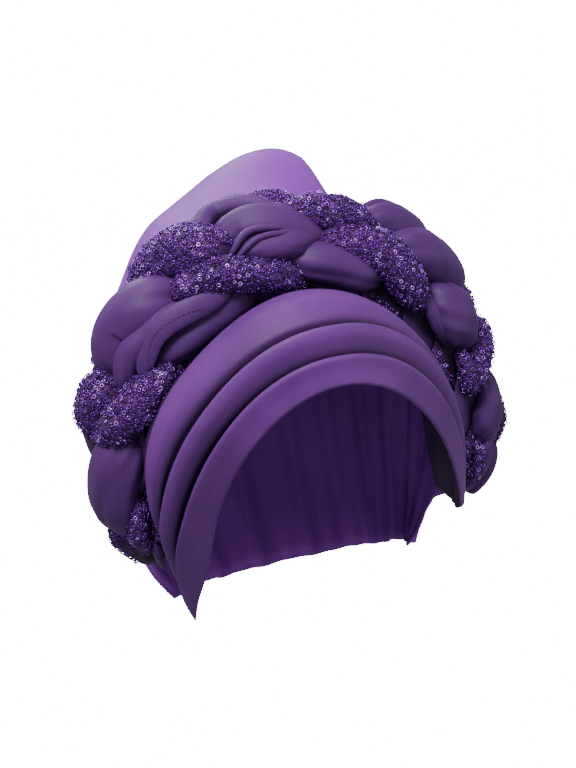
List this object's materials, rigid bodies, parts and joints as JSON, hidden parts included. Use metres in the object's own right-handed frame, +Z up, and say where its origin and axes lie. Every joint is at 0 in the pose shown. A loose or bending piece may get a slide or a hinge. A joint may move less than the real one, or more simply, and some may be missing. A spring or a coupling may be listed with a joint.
{
  "type": "braided turban cap",
  "caption": "Soft turban cap with a pleated front band, a thick braid of satin and sequin strands over the head and a puffed crown bag.",
  "frame": {"origin": "middle of the head opening, level with the ear tips, where the head carries the cap", "axes": "+Z up through the crown of the head, -Y out of the face, +X to the wearer's left"},
  "size_m": [0.2334, 0.208, 0.2356],
  "materials": {
    "satin": "matte purple satin jersey",
    "crown_satin": "matte light purple satin jersey",
    "sequin_mesh": "purple mesh set with small ring sequins"
  },
  "bodies": {
    "root": {"crown": "crown_satin", "front_band": "satin", "satin_strand_1": "satin", "satin_strand_2": "satin", "sequin_strand_1": "sequin_mesh", "sequin_strand_2": "sequin_mesh"}
  },
  "joints": []
}
